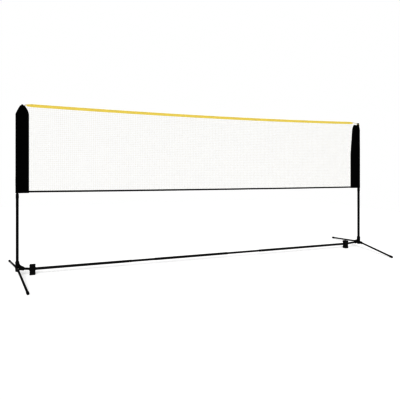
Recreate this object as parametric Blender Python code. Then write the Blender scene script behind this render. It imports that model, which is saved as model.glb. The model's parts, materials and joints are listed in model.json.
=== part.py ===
"""A portable net on a free-standing frame: two telescopic poles, a plug-together ground bar with
four-arm feet, folding legs, and a net with a top tape, a bottom binding and two pole sleeves.

Metres, +Z up. The net lies in the XZ plane, X runs along it and the origin is on the ground in the
middle. Pieces of one end are placed by u, the distance from that pole's axis towards the middle.
"""

import math

import bmesh
import bpy
from mathutils import Vector

ENDS = {"left": -1, "right": 1}

# Poles
POLE_X = 1.990  # each pole's axis from the middle
LOWER_R = 0.0110
LOWER_BORE_R = 0.00985
LOWER_FOOT_Z = 0.0503
LOWER_TOP_Z = 0.7120
UPPER_R = 0.0095
UPPER_BORE_R = 0.0083
UPPER_FOOT_Z = 0.5800
UPPER_BEND_Z = 1.2220  # straight below this height, so the tube can enter the lower one
UPPER_TOP_Z = 1.5300
LEAN = {"left": 0.0453, "right": 0.0085}  # how far each tip is drawn inward by the net
COLLAR_R = 0.0126
COLLAR_Z = (0.6980, 0.7380)

# Ground frame
CORNER_Z = 0.0660  # where the stub's axis meets the pole's
BAR_Z = 0.0520
BAR_R = 0.0108
BAR_BORE_R = 0.0096
NECK_R = {"left": 0.0092, "right": 0.0087}  # the two telescoping inner tubes
NECK_WALL = 0.0012
NECK_X = {"left": (-0.930, -0.690), "right": (0.140, 0.545)}  # where each one shows
NECK_INSIDE = 0.085  # how far it goes into the tube at either end
STUB_R = 0.0095
FOOT_U = {"left": 0.1297, "right": 0.2085}
FOOT_LENGTH = 0.0470
FOOT_HEIGHT = 0.0920
FIT = 0.0003  # clearance between a tube and its socket

# Legs
LEG_R = 0.0080
LEG_BORE_R = 0.0069
LEG_TIP = (0.1300, 0.5130)  # a tip from the pole's axis, along the net and across it
PIVOT = 0.0500  # a leg's pivot from the pole's axis
PIVOT_Z = 0.0620
PIVOT_HOLE_R = 0.0032
BOLT_R = 0.0028
TONGUE = 0.0120  # the knuckle's thickness
CAP_R = 0.0102

# Net
SLEEVE_Z = {"left": (0.7470, 1.5380), "right": (0.7410, 1.5245)}
SLEEVE_WIDTH = {"left": 0.0985, "right": 0.1268}  # its inner edge from the pole's axis
SLEEVE_BOW = {"left": 0.0, "right": 0.0265}  # how far that edge draws in by the shoulder
SLEEVE_LOBE = {"left": (0.0180, 0.0200), "right": (0.0140, 0.0667)}  # top opening, out and in
SLEEVE_MOUTH_R = {"left": 0.0180, "right": 0.0116}  # round the tip of the pole
SLEEVE_POCKET_R = 0.0140
SLEEVE_WALL = 0.0009
SHOULDER_Z = 1.4520
TAPE_HEIGHT = 0.0260
TAPE_END_HEIGHT = 0.0140
TAPE_Z = 1.5256  # its centreline in the middle
TAPE_RISE = {"left": 0.0189, "right": 0.0234}  # from there to the poles
TAPE_HALF = 0.0015
TAPE_GAP = {"left": 0.0380, "right": 0.0850}  # from the pole tip's axis to the end of the tape
TAPE_REACH = 1.956
BINDING_Z = 0.7506  # its centreline in the middle
BINDING_TILT = 0.00195
BINDING_SAG = 0.00107
BINDING_HALF = 0.0068
NETTING_HALF = 0.0006
NET_CORNER_Z = (1.5030, 1.5300)  # the mesh leaves the sleeve and meets the end of the tape
CORD_R = 0.0022
TIE_Z = 1.5300
TIE_ROUTE = [(0.0134, 0.0), (0.0153, 0.0044), (0.0180, 0.0086), (0.0219, 0.0122)]  # in and up
SEG = 20


def material(name, colour, rough, metal=0.0):
    m = bpy.data.materials.new(name)
    m.use_nodes = True
    shader = m.node_tree.nodes["Principled BSDF"]
    shader.inputs["Base Color"].default_value = (*colour, 1.0)
    shader.inputs["Roughness"].default_value = rough
    shader.inputs["Metallic"].default_value = metal
    return m


def circle(centre, axis, radius, seg=SEG):
    """Points round a circle that faces along axis, always started from the same side."""
    axis = Vector(axis).normalized()
    ref = Vector((0, 1, 0)) if abs(axis.y) < 0.9 else Vector((0, 0, 1))
    a = ref.cross(axis).normalized()
    b = axis.cross(a)
    turns = [2 * math.pi * k / seg for k in range(seg)]
    return [Vector(centre) + a * (radius * math.cos(t)) + b * (radius * math.sin(t)) for t in turns]


def loft(loops, wrap=False):
    """A closed body through loops of equally many points; wrap joins the last to the first."""
    bm = bmesh.new()
    rings = [[bm.verts.new(p) for p in loop] for loop in loops]
    count = len(rings[0])
    pairs = list(zip(rings, rings[1:])) + ([(rings[-1], rings[0])] if wrap else [])
    for low, high in pairs:
        for k in range(count):
            n = (k + 1) % count
            bm.faces.new((low[k], low[n], high[n], high[k]))
    if not wrap:
        bm.faces.new(rings[0])
        bm.faces.new(rings[-1])
    bmesh.ops.recalc_face_normals(bm, faces=bm.faces)
    mesh = bpy.data.meshes.new("shape")
    bm.to_mesh(mesh)
    bm.free()
    shape = bpy.data.objects.new("shape", mesh)
    bpy.context.scene.collection.objects.link(shape)
    return shape


def turned(start, axis, profile, inner=(), seg=SEG):
    """A lathed body: profile holds (distance along axis, radius); inner is its bore, if any."""
    axis = Vector(axis).normalized()
    loops = [circle(Vector(start) + axis * d, axis, r, seg) for d, r in profile]
    loops += [circle(Vector(start) + axis * d, axis, r, seg) for d, r in inner]
    return loft(loops, wrap=bool(inner))


def rod(a, b, radius, seg=SEG):
    return loft([circle(a, b - a, radius, seg), circle(b, b - a, radius, seg)])


def tube(a, b, radius, bore):
    axis = b - a
    ends = ((a, radius), (b, radius), (b, bore), (a, bore))
    return loft([circle(p, axis, r) for p, r in ends], wrap=True)


def slab(outline, offset):
    """A flat plate: the outline's points moved by offset either way."""
    return loft([[p - offset for p in outline], [p + offset for p in outline]])


def combined(base, others, operation):
    """The first body with each of the others added or cut away."""
    for other in others:
        step = base.modifiers.new("step", "BOOLEAN")
        step.operation = operation
        step.solver = "EXACT"
        step.object = other
    bpy.context.view_layer.update()
    whole = base.evaluated_get(bpy.context.evaluated_depsgraph_get())
    mesh = bpy.data.meshes.new_from_object(whole)
    for used in (base, *others):
        bpy.data.objects.remove(used)
    result = bpy.data.objects.new("shape", mesh)
    bpy.context.scene.collection.objects.link(result)
    return result


def finish(shape, name, look, origin=None):
    """Names a piece, shades its round faces smooth and puts its origin on the axis it turns on."""
    shape.name = name
    shape.data.name = name
    shape.data.materials.clear()
    shape.data.materials.append(look)
    shape.data.shade_smooth()
    shape.data.set_sharp_from_angle(angle=math.radians(32))
    if origin is not None:
        for v in shape.data.vertices:
            v.co -= origin
        shape.location = origin
    return shape


def place(side, u, y, z):
    return Vector((side * (POLE_X - u), y, z))


def ease(x):
    return min(max(x, 0.0), 1.0)


def pole_u(end, z):
    """How far the upper pole's axis is inward at a height."""
    return LEAN[end] * ease((z - UPPER_BEND_Z) / (UPPER_TOP_Z + 0.0190 - UPPER_BEND_Z)) ** 2


def pole_point(end, side, z):
    return place(side, pole_u(end, z), 0.0, z)


def pole_axis(end, side, z):
    return pole_point(end, side, z + 0.002) - pole_point(end, side, z - 0.002)


def lower_pole(end, side, look):
    foot = place(side, 0, 0, LOWER_FOOT_Z)
    top = place(side, 0, 0, LOWER_TOP_Z)
    finish(tube(foot, top, LOWER_R, LOWER_BORE_R), f"lower_pole_{end}", look)


def lock_collar(end, side, look):
    """The twist lock on the lower pole's mouth: a wide skirt below and a grip on the inner tube."""
    low, high = COLLAR_Z
    outer = [(0, 0.0122), (0.002, COLLAR_R), (high - low - 0.002, COLLAR_R), (high - low, 0.0120)]
    step = LOWER_TOP_Z - low + 0.0005
    inner = [(high - low, LOWER_BORE_R), (step, LOWER_BORE_R), (step, LOWER_R + FIT), (0, LOWER_R + FIT)]
    start = place(side, 0, 0, low)
    finish(turned(start, (0, 0, 1), outer, inner), f"lock_collar_{end}", look, start)


def upper_pole(end, side, look):
    bends = 8
    rise = UPPER_TOP_Z - UPPER_BEND_Z
    heights = [UPPER_FOOT_Z] + [UPPER_BEND_Z + rise * k / bends for k in range(bends + 1)]
    places = [(pole_point(end, side, z), pole_axis(end, side, z)) for z in heights]
    outer = [circle(p, axis, UPPER_R) for p, axis in places]
    inner = [circle(p, axis, UPPER_BORE_R) for p, axis in reversed(places)]
    finish(loft(outer + inner, wrap=True), f"upper_pole_{end}", look)


def pole_cap(end, side, look):
    """A domed plug: its spigot is in the tube and its head rests on the tube's rim."""
    profile = [(-0.018, 0.0078), (0.0004, 0.0078), (0.0004, 0.0100), (0.002, 0.0106)]
    profile += [(0.0085, 0.0108), (0.0135, 0.0098), (0.0175, 0.0072), (0.0196, 0.0035)]
    start = pole_point(end, side, UPPER_TOP_Z)
    finish(turned(start, pole_axis(end, side, UPPER_TOP_Z), profile), f"pole_cap_{end}", look)


def leg_line(side, row):
    """The pivot, and the direction along the net and across it, of the leg in a row."""
    reach = math.hypot(*LEG_TIP)
    along = LEG_TIP[0] / reach * (1 if row == "front" else -1)
    across = LEG_TIP[1] / reach * (-1 if row == "front" else 1)
    level = Vector((-side * along, across, 0))
    pivot = Vector((side * POLE_X, 0, PIVOT_Z)) + level * PIVOT
    return pivot, level, reach - PIVOT


def stub_axis(end, side):
    """From the corner down to the foot's middle."""
    a = place(side, 0, 0, CORNER_Z)
    b = place(side, FOOT_U[end], 0, BAR_Z)
    return a, b


def corner(end, side, look):
    """The moulded corner: pole socket, stub socket, a curved web and a fork for each leg."""
    body = turned(
        place(side, 0, 0, 0.040),
        (0, 0, 1),
        [(0, 0.0135), (0.003, 0.0158), (0.078, 0.0158), (0.086, 0.0150), (0.090, 0.0138)],
    )
    a, b = stub_axis(end, side)
    along = (b - a).normalized()
    socket = turned(a, along, [(0.004, 0.0145), (0.056, 0.0145), (0.060, 0.0132)])
    web = [(0.002, 0.062), (0.002, 0.122), (0.0150, 0.122), (0.0185, 0.106), (0.0270, 0.0925)]
    web += [(0.0400, 0.0835), (0.0540, 0.0770), (0.0540, 0.0640)]
    added = [socket, slab([place(side, u, 0, z) for u, z in web], Vector((0, 0.0042, 0)))]
    cuts = []
    for row in ("front", "rear"):
        pivot, level, _ = leg_line(side, row)
        across = Vector((-level.y, level.x, 0))
        hub = Vector((side * POLE_X, 0, 0))
        lug = [hub - across * 0.0115, hub + level * 0.034 - across * 0.0102]
        lug += [pivot.xy.to_3d() + across * (-0.0102 * math.cos(t)) + level * (0.0102 * math.sin(t))
                for t in [math.pi * k / 8 for k in range(9)]]
        lug += [hub + level * 0.034 + across * 0.0102, hub + across * 0.0115]
        added.append(slab([p + Vector((0, 0, PIVOT_Z)) for p in lug], Vector((0, 0, 0.0112))))
        gap = [hub + level * d + across * w for d, w in ((0.036, -0.02), (0.07, -0.02), (0.07, 0.02), (0.036, 0.02))]
        cuts.append(slab([p + Vector((0, 0, PIVOT_Z)) for p in gap], Vector((0, 0, TONGUE / 2 + 0.0004))))
        cuts.append(rod(pivot - Vector((0, 0, 0.02)), pivot + Vector((0, 0, 0.02)), PIVOT_HOLE_R, 12))
    cuts.append(rod(place(side, 0, 0, LOWER_FOOT_Z - FIT), place(side, 0, 0, 0.15), LOWER_R + FIT))
    cuts.append(rod(a + along * 0.0185, a + along * 0.08, STUB_R + FIT))
    shape = combined(body, added, "UNION")
    finish(combined(shape, cuts, "DIFFERENCE"), f"corner_{end}", look)


def stub(end, side, look):
    a, b = stub_axis(end, side)
    along = (b - a).normalized()
    finish(tube(a + along * 0.0190, b - along * 0.0030, STUB_R, STUB_R - 0.0012), f"stub_{end}", look)


def foot(end, side, look):
    """A four-arm support with flat soles; the stub and the bar plug into its two ends."""
    half = [(0.0000, 0.0745), (0.0052, 0.0875), (0.0085, 0.0920), (0.0155, 0.0920), (0.0190, 0.0880)]
    half += [(0.0188, 0.0800), (0.0152, 0.0640)]
    right = half + [(y, FOOT_HEIGHT - z) for y, z in reversed(half)]
    left = [(-y, z) for y, z in reversed(right) if y > 0]
    middle = place(side, FOOT_U[end], 0, 0)
    outline = [middle + Vector((0, y, z)) for y, z in right + left]
    shape = slab(outline, Vector((FOOT_LENGTH / 2, 0, 0)))
    a, b = stub_axis(end, side)
    along = (b - a).normalized()
    bar = [middle + Vector((0, 0, BAR_Z)), place(side, FOOT_U[end] + 0.05, 0, BAR_Z)]
    cuts = [rod(a + along * 0.05, b, STUB_R + FIT), rod(bar[0], bar[1], BAR_R + FIT)]
    finish(combined(shape, cuts, "DIFFERENCE"), f"foot_{end}", look)


def bars(look):
    """Three outer tubes and the two inner tubes that telescope into them, with spring buttons."""
    ends = {end: place(side, FOOT_U[end] + 0.0030, 0, BAR_Z).x for end, side in ENDS.items()}
    spans = {
        "bar_left": (ends["left"], NECK_X["left"][0]),
        "bar_middle": (NECK_X["left"][1], NECK_X["right"][0]),
        "bar_right": (NECK_X["right"][1], ends["right"]),
    }
    shapes = {}
    for name, (x0, x1) in spans.items():
        shapes[name] = tube(Vector((x0, 0, BAR_Z)), Vector((x1, 0, BAR_Z)), BAR_R, BAR_BORE_R)
    for end, (x0, x1) in NECK_X.items():
        radius = NECK_R[end]
        a = Vector((x0 - NECK_INSIDE, 0, BAR_Z))
        b = Vector((x1 + NECK_INSIDE, 0, BAR_Z))
        inner = tube(a, b, radius, radius - NECK_WALL)
        x = button_x(end)
        hole = (Vector((x, -0.02, BAR_Z)), Vector((x, -0.002, BAR_Z)))
        inner = combined(inner, [rod(*hole, 0.0034, 12)], "DIFFERENCE")
        finish(inner, f"inner_tube_{end}", look)
        outer = f"bar_{end}"
        shapes[outer] = combined(shapes[outer], [rod(*hole, 0.0034, 12)], "DIFFERENCE")
    for name, shape in shapes.items():
        finish(shape, name, look)


def button_x(end):
    return NECK_X["left"][0] - 0.0250 if end == "left" else NECK_X["right"][1] + 0.0250


def button(end, look):
    """A spring button: its head stands proud of the outer tube, its flange is inside the inner."""
    start = Vector((button_x(end), 0, BAR_Z))
    profile = [(0.0042, 0.0044), (0.0056, 0.0044), (0.0056, 0.0029), (0.0120, 0.0029)]
    profile += [(0.0131, 0.0023), (0.0136, 0.0012)]
    finish(turned(start, (0, -1, 0), profile, seg=12), f"button_{end}", look)


def leg(end, side, row, looks):
    """A leg with its knuckle, rubber tip, pivot bolt and nut; it slopes from the pivot to the ground."""
    pivot, level, reach = leg_line(side, row)
    rounding = 0.006
    tilt = math.atan2(PIVOT_Z - CAP_R, reach)
    for _ in range(4):
        tip_z = CAP_R * math.cos(tilt) - rounding * math.sin(tilt)
        tilt = math.atan2(PIVOT_Z - tip_z, reach)
    along = (level * math.cos(tilt) - Vector((0, 0, math.sin(tilt)))).normalized()
    length = reach / math.cos(tilt)
    up = Vector((0, 0, 1))
    across = level.cross(up)

    eye = turned(pivot - up * (TONGUE / 2), up, [(0, 0.0090), (TONGUE, 0.0090)])
    arm = [level * d + across * w for d, w in ((0, -0.0078), (0.024, -0.0070), (0.024, 0.0070), (0, 0.0078))]
    arm = slab([pivot + p for p in arm], up * (TONGUE / 2 - 0.0006))
    plug = turned(pivot, along, [(0.0165, 0.0060), (0.0190, 0.0088), (0.0270, 0.0088),
                                 (0.0270, LEG_BORE_R - FIT), (0.0520, LEG_BORE_R - FIT)])
    shape = combined(eye, [arm, plug], "UNION")
    hole = rod(pivot - up * 0.02, pivot + up * 0.02, PIVOT_HOLE_R, 12)
    finish(combined(shape, [hole], "DIFFERENCE"), f"knuckle_{row}_{end}", looks["plastic"], pivot)

    a = pivot + along * (0.0270 + FIT)
    b = pivot + along * (length - 0.0040)
    finish(tube(a, b, LEG_R, LEG_BORE_R), f"leg_{row}_{end}", looks["tube"], pivot)

    tip = [(length - 0.030, CAP_R - 0.0007), (length - 0.028, CAP_R), (length - rounding, CAP_R)]
    tip += [(length - 0.0015, CAP_R - 0.0016), (length, CAP_R - 0.0042)]
    bore = [(length - 0.0036, 0.0010), (length - 0.0036, LEG_R + FIT), (length - 0.030, LEG_R + FIT)]
    cap = turned(pivot, along, tip)
    cap = combined(cap, [turned(pivot, along, bore[1:2] + [(length - 0.034, LEG_R + FIT)])], "DIFFERENCE")
    finish(cap, f"leg_tip_{row}_{end}", looks["rubber"], pivot)

    head = [(-0.0170, BOLT_R), (0.0116, BOLT_R), (0.0116, 0.0056), (0.0140, 0.0056)]
    head += [(0.0156, 0.0046), (0.0162, 0.0026)]
    finish(turned(pivot, up, head, seg=12), f"pivot_bolt_{row}_{end}", looks["steel"])
    flat = [(-0.0156, 0.0056), (-0.0116, 0.0056)]
    bore_r = (BOLT_R + FIT) / math.cos(math.pi / 6)
    hole = [(-0.0116, bore_r), (-0.0156, bore_r)]
    finish(turned(pivot, up, flat, hole, seg=6), f"pivot_nut_{row}_{end}", looks["steel"])


def sleeve_edge(end, z):
    """The sleeve's inner edge, from the pole's axis, at a height."""
    high = SLEEVE_Z[end][1]
    lowered = ease((z - 1.15) / (SHOULDER_Z - 1.15)) ** 1.2
    edge = SLEEVE_WIDTH[end] - SLEEVE_BOW[end] * lowered
    top = pole_u(end, high) + SLEEVE_LOBE[end][1]
    return edge + (top - edge) * ease((z - SHOULDER_Z) / (high - SHOULDER_Z)) ** 1.9


def sleeve_loop(end, side, z, inset):
    """One level of the sleeve: the outline that wraps the pole pocket and the sewn inner edge."""
    high = SLEEVE_Z[end][1]
    leaving = ease((z - UPPER_BEND_Z - 0.003) / 0.22)
    back_r = SLEEVE_POCKET_R - 0.0095 * leaving * (1 if end == "left" else 0.25)
    shoulder = ease((z - SHOULDER_Z - 0.008) / (high - SHOULDER_Z - 0.008)) ** 1.15
    out = -SLEEVE_POCKET_R
    out += (pole_u(end, high) - SLEEVE_LOBE[end][0] - out) * shoulder
    back_r += (0.0032 - back_r) * shoulder
    edge_r = 0.0017
    round_r = 0.0116 + (SLEEVE_MOUTH_R[end] - 0.0116) * ease((z - 1.510) / 0.0125)
    rounds = [(out + back_r, back_r), (pole_u(end, z), round_r), (sleeve_edge(end, z) - edge_r, edge_r)]
    points = []
    for k in range(24):
        turn = 2 * math.pi * (k + 0.5) / 24
        cu, r = max(rounds, key=lambda c: c[0] * math.cos(turn) + c[1])
        points.append(place(side, cu + (r - inset) * math.cos(turn), (r - inset) * math.sin(turn), z))
    return points


def sleeve_heights(end):
    low, high = SLEEVE_Z[end]
    shoulder = [SHOULDER_Z + (high - SHOULDER_Z) * k / 6 for k in range(7)]
    return [low, 1.000, 1.150, 1.225, 1.290, 1.345, 1.395, 1.430, *shoulder]


def sleeve(end, side, look):
    """A flat fabric sleeve, open at both ends, wide enough inside to pass over the lock collar."""
    heights = sleeve_heights(end)
    outer = [sleeve_loop(end, side, z, 0.0) for z in heights]
    inner = [sleeve_loop(end, side, z, SLEEVE_WALL) for z in reversed(heights)]
    finish(loft(outer + inner, wrap=True), f"sleeve_{end}", look)


def tape_end_x(end):
    return ENDS[end] * (POLE_X - pole_u(end, UPPER_TOP_Z) - TAPE_GAP[end])


def tape_z(x):
    return TAPE_Z + TAPE_RISE["left" if x < 0 else "right"] * (x / TAPE_REACH) ** 2


def binding_z(x):
    """The binding's centreline; it sags a little and is lower at the right."""
    return BINDING_Z - BINDING_TILT * x + BINDING_SAG * x**2


def net_edge(end, z):
    """The mesh's edge from the pole's axis: along the sleeve, then across to the end of the tape."""
    low, high = NET_CORNER_Z
    edge = sleeve_edge(end, min(z, low))
    corner = POLE_X - abs(tape_end_x(end)) + 0.0040
    return edge + (corner - edge) * ease((z - low) / (high - low))


def tape_half_height(x):
    """Half the tape's height; its last stretch is folded narrower."""
    end = "left" if x < 0 else "right"
    near = ease(abs(tape_end_x(end) - x) / 0.045)
    return (TAPE_END_HEIGHT + (TAPE_HEIGHT - TAPE_END_HEIGHT) * near) / 2


def stations(x0, x1, step):
    count = max(2, round((x1 - x0) / step))
    return [x0 + (x1 - x0) * k / count for k in range(count + 1)]


def top_tape(look):
    x0 = tape_end_x("left")
    x1 = tape_end_x("right")
    loops = []
    for x in [x0, *stations(x0 + 0.045, x1 - 0.045, 0.24), x1]:
        z = tape_z(x)
        h = tape_half_height(x)
        corners = ((-1, -1), (1, -1), (1, 1), (-1, 1))
        loops.append([Vector((x, a * TAPE_HALF, z + b * h)) for a, b in corners])
    finish(loft(loops), "top_tape", look)


def tie_loop(end, side, look):
    """The cord at the tape's end: a ring round the pole's tip, and a tail over the sleeve's mouth."""
    centre = place(side, pole_u(end, TIE_Z), 0, TIE_Z)
    ring = []
    for k in range(16):
        t = 2 * math.pi * k / 16
        out = Vector((math.cos(t), math.sin(t), 0))
        ring.append(circle(centre + out * 0.0134, Vector((-out.y, out.x, 0)), CORD_R, 8))
    inward = Vector((-side, 0, 0))
    up = Vector((0, 0, 1))
    route = [centre + inward * d + up * h for d, h in TIE_ROUTE]
    route.append(Vector((tape_end_x(end), 0, tape_z(tape_end_x(end)))) - inward * 0.0006)
    axes = [b - a for a, b in zip(route[:1] + route[:-1], route[1:] + route[-1:])]
    axes[-1] = inward
    tail = loft([circle(p, axis, CORD_R, 8) for p, axis in zip(route, axes)])
    finish(combined(loft_ring(ring), [tail], "UNION"), f"tie_loop_{end}", look)


def loft_ring(loops):
    """A closed ring through loops whose start turns with them."""
    turned_loops = [loops[0]]
    for loop in loops[1:]:
        last = turned_loops[-1]
        shift = min(range(len(loop)), key=lambda s: (loop[s] - last[0]).length)
        one = loop[shift:] + loop[:shift]
        back = [one[0]] + one[:0:-1]
        pick = min((one, back), key=lambda c: sum((p - q).length for p, q in zip(c, last)))
        turned_loops.append(pick)
    return loft(turned_loops, wrap=True)


def netting(look):
    """The knotted mesh as one thin sheet between the tapes and the two sleeves."""
    gap = 0.0005
    x0 = -POLE_X + net_edge("left", NET_CORNER_Z[1])
    x1 = POLE_X - net_edge("right", NET_CORNER_Z[1])
    inside = stations(tape_end_x("left") + 0.045, tape_end_x("right") - 0.045, 0.24)
    top = [Vector((x, 0, tape_z(x) - TAPE_HEIGHT / 2 - gap)) for x in [x0, *inside, x1]]
    sides = {}
    for end, side in ENDS.items():
        heights = [z for z in sleeve_heights(end)[1:] if z < NET_CORNER_Z[0]]
        sides[end] = [Vector((side * (POLE_X - net_edge(end, z) - gap), 0, z)) for z in heights]
    left = sides["left"]
    right = sides["right"][::-1]
    along = stations(left[0].x, right[-1].x, 0.24)
    bottom = [Vector((x, 0, binding_z(x) + BINDING_HALF + gap)) for x in along]
    finish(slab(left + top + right + bottom[::-1], Vector((0, NETTING_HALF, 0))), "netting", look)


def bottom_binding(look):
    x0 = -POLE_X + sleeve_edge("left", BINDING_Z) + 0.0005
    x1 = POLE_X - sleeve_edge("right", BINDING_Z) - 0.0005
    corners = ((-1, -1), (1, -1), (1, 1), (-1, 1))
    loops = []
    for x in stations(x0, x1, 0.24):
        loops.append([Vector((x, a * TAPE_HALF, binding_z(x) + b * BINDING_HALF)) for a, b in corners])
    finish(loft(loops), "bottom_binding", look)


def build():
    for old in list(bpy.data.objects):
        bpy.data.objects.remove(old)
    tube_look = material("black_painted_tube", (0.012, 0.012, 0.013), 0.38, 0.2)
    plastic = material("black_moulding", (0.016, 0.016, 0.016), 0.55)
    rubber = material("black_rubber", (0.014, 0.014, 0.014), 0.80)
    steel = material("zinc_plated_steel", (0.55, 0.55, 0.54), 0.32, 1.0)
    sleeve_look = material("black_fabric", (0.010, 0.010, 0.011), 0.90)
    tape_look = material("yellow_tape", (0.83, 0.53, 0.05), 0.75)
    binding_look = material("black_binding", (0.012, 0.012, 0.012), 0.85)
    netting_look = material("cream_netting", (0.80, 0.77, 0.66), 0.80)
    cord_look = material("cream_cord", (0.72, 0.62, 0.34), 0.80)
    looks = {"tube": tube_look, "plastic": plastic, "rubber": rubber, "steel": steel}
    for end, side in ENDS.items():
        corner(end, side, plastic)
        lower_pole(end, side, tube_look)
        lock_collar(end, side, plastic)
        upper_pole(end, side, tube_look)
        pole_cap(end, side, plastic)
        stub(end, side, tube_look)
        foot(end, side, plastic)
        button(end, steel)
        for row in ("front", "rear"):
            leg(end, side, row, looks)
        sleeve(end, side, sleeve_look)
        tie_loop(end, side, cord_look)
    bars(tube_look)
    top_tape(tape_look)
    netting(netting_look)
    bottom_binding(binding_look)


build()
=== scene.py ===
"""The finished look of a portable net on poles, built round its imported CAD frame.

Metres, +Z up, the net in the XZ plane with X along it. Places of one end are given by u, the
distance from that pole's axis towards the middle, as in the CAD source.
"""

import json
import math

import bmesh
import bpy
import numpy as np
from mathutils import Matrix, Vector, noise

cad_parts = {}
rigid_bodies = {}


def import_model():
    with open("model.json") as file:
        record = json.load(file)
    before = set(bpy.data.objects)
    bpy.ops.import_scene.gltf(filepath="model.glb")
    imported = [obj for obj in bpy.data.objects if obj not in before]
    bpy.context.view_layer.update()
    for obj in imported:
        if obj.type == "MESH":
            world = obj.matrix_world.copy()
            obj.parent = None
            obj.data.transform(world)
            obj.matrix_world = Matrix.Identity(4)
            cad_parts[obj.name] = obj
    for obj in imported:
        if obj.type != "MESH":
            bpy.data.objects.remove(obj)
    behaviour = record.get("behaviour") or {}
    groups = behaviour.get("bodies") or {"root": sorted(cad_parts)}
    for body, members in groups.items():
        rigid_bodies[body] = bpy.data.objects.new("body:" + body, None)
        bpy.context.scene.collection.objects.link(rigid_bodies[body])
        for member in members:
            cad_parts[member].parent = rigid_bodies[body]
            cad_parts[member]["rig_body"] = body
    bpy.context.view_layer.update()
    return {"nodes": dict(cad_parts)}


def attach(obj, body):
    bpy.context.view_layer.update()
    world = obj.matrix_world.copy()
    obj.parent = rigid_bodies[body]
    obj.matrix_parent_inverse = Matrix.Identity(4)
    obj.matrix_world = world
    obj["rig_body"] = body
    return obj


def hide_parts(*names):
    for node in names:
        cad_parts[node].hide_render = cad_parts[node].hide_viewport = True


for old in list(bpy.data.objects):
    bpy.data.objects.remove(old)
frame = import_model()
scene = bpy.context.scene

ENDS = {"left": -1, "right": 1}


def pair(left, right):
    return {"left": left, "right": right}



# Poles
POLE_X = 1.990
LOWER_R, LOWER_BORE_R = 0.0110, 0.00985
LOWER_FOOT_Z, LOWER_TOP_Z = 0.0503, 0.7120
UPPER_R, UPPER_BORE_R = 0.0095, 0.0083
UPPER_FOOT_Z, UPPER_BEND_Z, UPPER_TOP_Z = 0.5800, 1.2220, 1.5300
LEAN_TOP_Z = UPPER_TOP_Z + 0.0190  # the top of the cap, where LEAN is reached
LEAN = pair(0.0453, 0.0085)
COLLAR_R = 0.0126
COLLAR_Z = (0.6980, 0.7380)

# Ground frame
CORNER_Z = 0.0660
BAR_Z = 0.0520
BAR_R, BAR_BORE_R = 0.0108, 0.0096
NECK_R = pair(0.0092, 0.0087)
NECK_WALL = 0.0012
NECK_X = pair((-0.930, -0.690), (0.140, 0.545))
NECK_INSIDE = 0.085
BUTTON_X = pair(-0.955, 0.570)
BUTTON_HOLE_R = 0.0034
STUB_R, STUB_BORE_R = 0.0095, 0.0083
FOOT_U = pair(0.1297, 0.2085)
FOOT_LENGTH, FOOT_HEIGHT = 0.0470, 0.0920
BEAD_R = 0.0070
FIT = 0.0003  # between a tube and the moulding round it

# Legs
LEG_R, LEG_BORE_R = 0.0080, 0.0069
LEG_TIP = (0.1300, 0.5130)
PIVOT, PIVOT_Z = 0.0500, 0.0620
BOLT_R = 0.0028
CAP_R, CAP_ROUNDING = 0.0102, 0.006

# Net
SLEEVE_Z = pair((0.7470, 1.5380), (0.7410, 1.5245))
SLEEVE_WIDTH = pair(0.0985, 0.1268)
SLEEVE_BOW = pair(0.0, 0.0265)
SLEEVE_LOBE = pair((0.0180, 0.0200), (0.0140, 0.0667))
SLEEVE_MOUTH_R = pair(0.0180, 0.0116)
SLEEVE_POCKET_R = 0.0140
BOW_Z, SHOULDER_Z = 1.15, 1.4520
TAPE_HEIGHT, TAPE_END_HEIGHT = 0.0260, 0.0140
TAPE_Z = 1.5256
TAPE_RISE = pair(0.0189, 0.0234)
TAPE_GAP = pair(0.0380, 0.0850)
TAPE_REACH = 1.956
BINDING_Z, BINDING_TILT, BINDING_SAG, BINDING_HALF = 0.7506, 0.00195, 0.00107, 0.0068
NET_CORNER_Z = (1.5030, 1.5300)
TIE_Z = 1.5300
TIE_ROUTE = [(0.0134, 0.0), (0.0153, 0.0044), (0.0180, 0.0086), (0.0219, 0.0122)]
MESH_PITCH, MESH_ROWS = 0.0181, 43
MESH_REACH = 1.940
TWINE_R, TWINE_LIFT = 0.00050, 0.00035
KNOT_R = (0.00115, 0.00098, 0.00098)

SIDES, HEX_SIDES, GRIP_SIDES = 40, 48, 144  # round a tube, a bolt or nut, and a lock collar
BUTTON_SIDES = 32
MM = 0.001
UP = Vector((0, 0, 1))
RIM = 0.0004  # the rounding of a tube's rim
CYCLE = 2 * math.pi
SEED = 11
rng = np.random.default_rng(SEED)
noise.seed_set(SEED)  # without it noise_vector takes its offsets from the clock


# --- materials


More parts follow.
